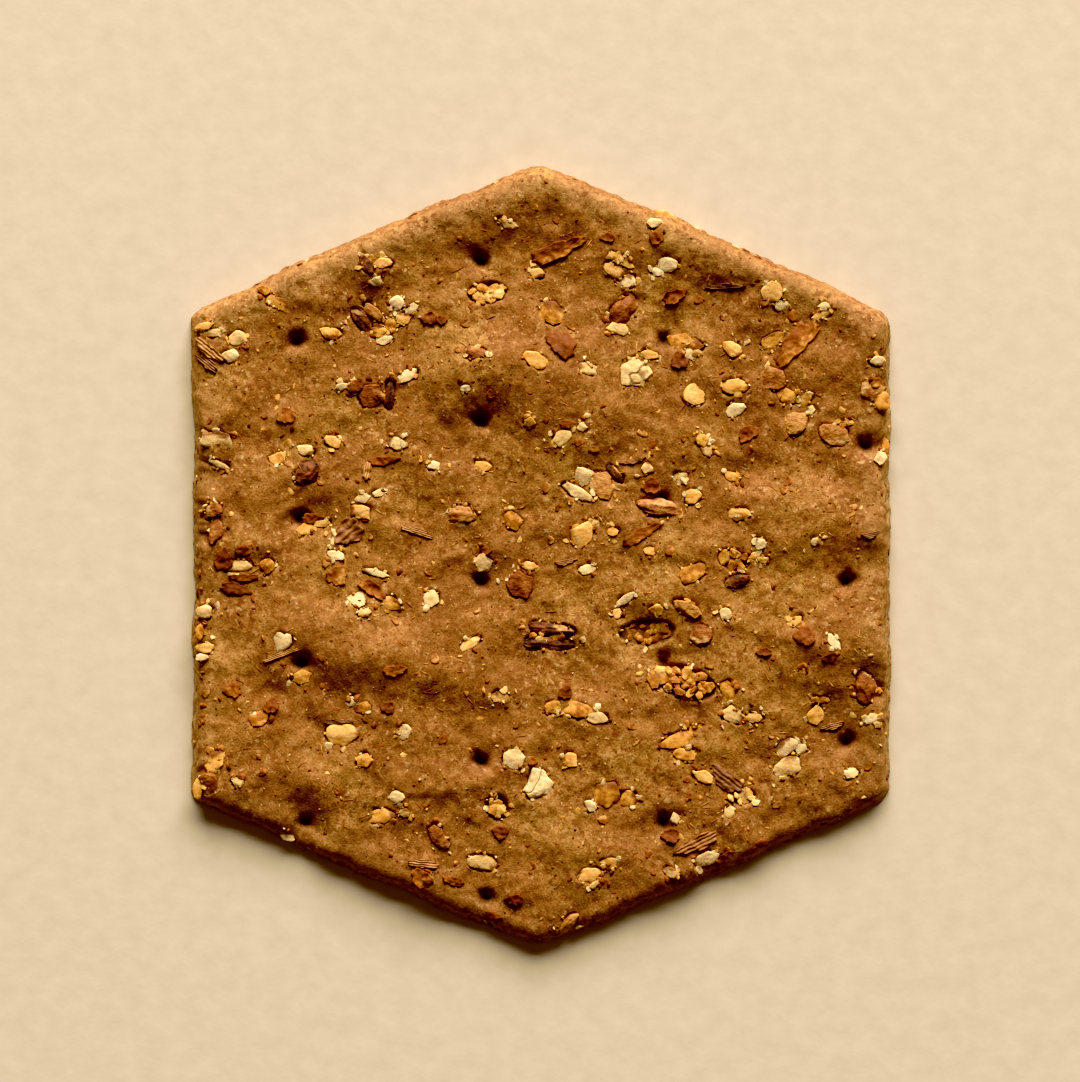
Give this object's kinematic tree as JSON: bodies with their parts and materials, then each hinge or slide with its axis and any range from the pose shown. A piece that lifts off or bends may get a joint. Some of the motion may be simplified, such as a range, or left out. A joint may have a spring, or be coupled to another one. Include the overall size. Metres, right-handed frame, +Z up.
{
  "type": "rye cracker",
  "caption": "Flat hexagonal rye cracker with a raised rim, rows of blind docking holes and cracked grains and bran baked into its upper face; a crisp bread to eat.",
  "frame": {"origin": "middle of the flat underside", "axes": "+Z up through the thickness; +Y towards one of the two corners on the long axis; the two straight long sides face +X and -X"},
  "size_m": [0.0801, 0.0889, 0.0045],
  "materials": {
    "baked_dough": "matte baked rye dough, mottled brown with bran freckles",
    "whole_kernel": "red-brown kernel skin, wrinkled, with a faint shine",
    "amber_chip": "broken toasted grain, amber and glassy",
    "cream_chip": "broken floury grain, cream and chalky",
    "bran_flake": "thin toasted bran, red-brown and papery"
  },
  "bodies": {
    "root": {"cracker": "baked_dough"}
  },
  "joints": []
}
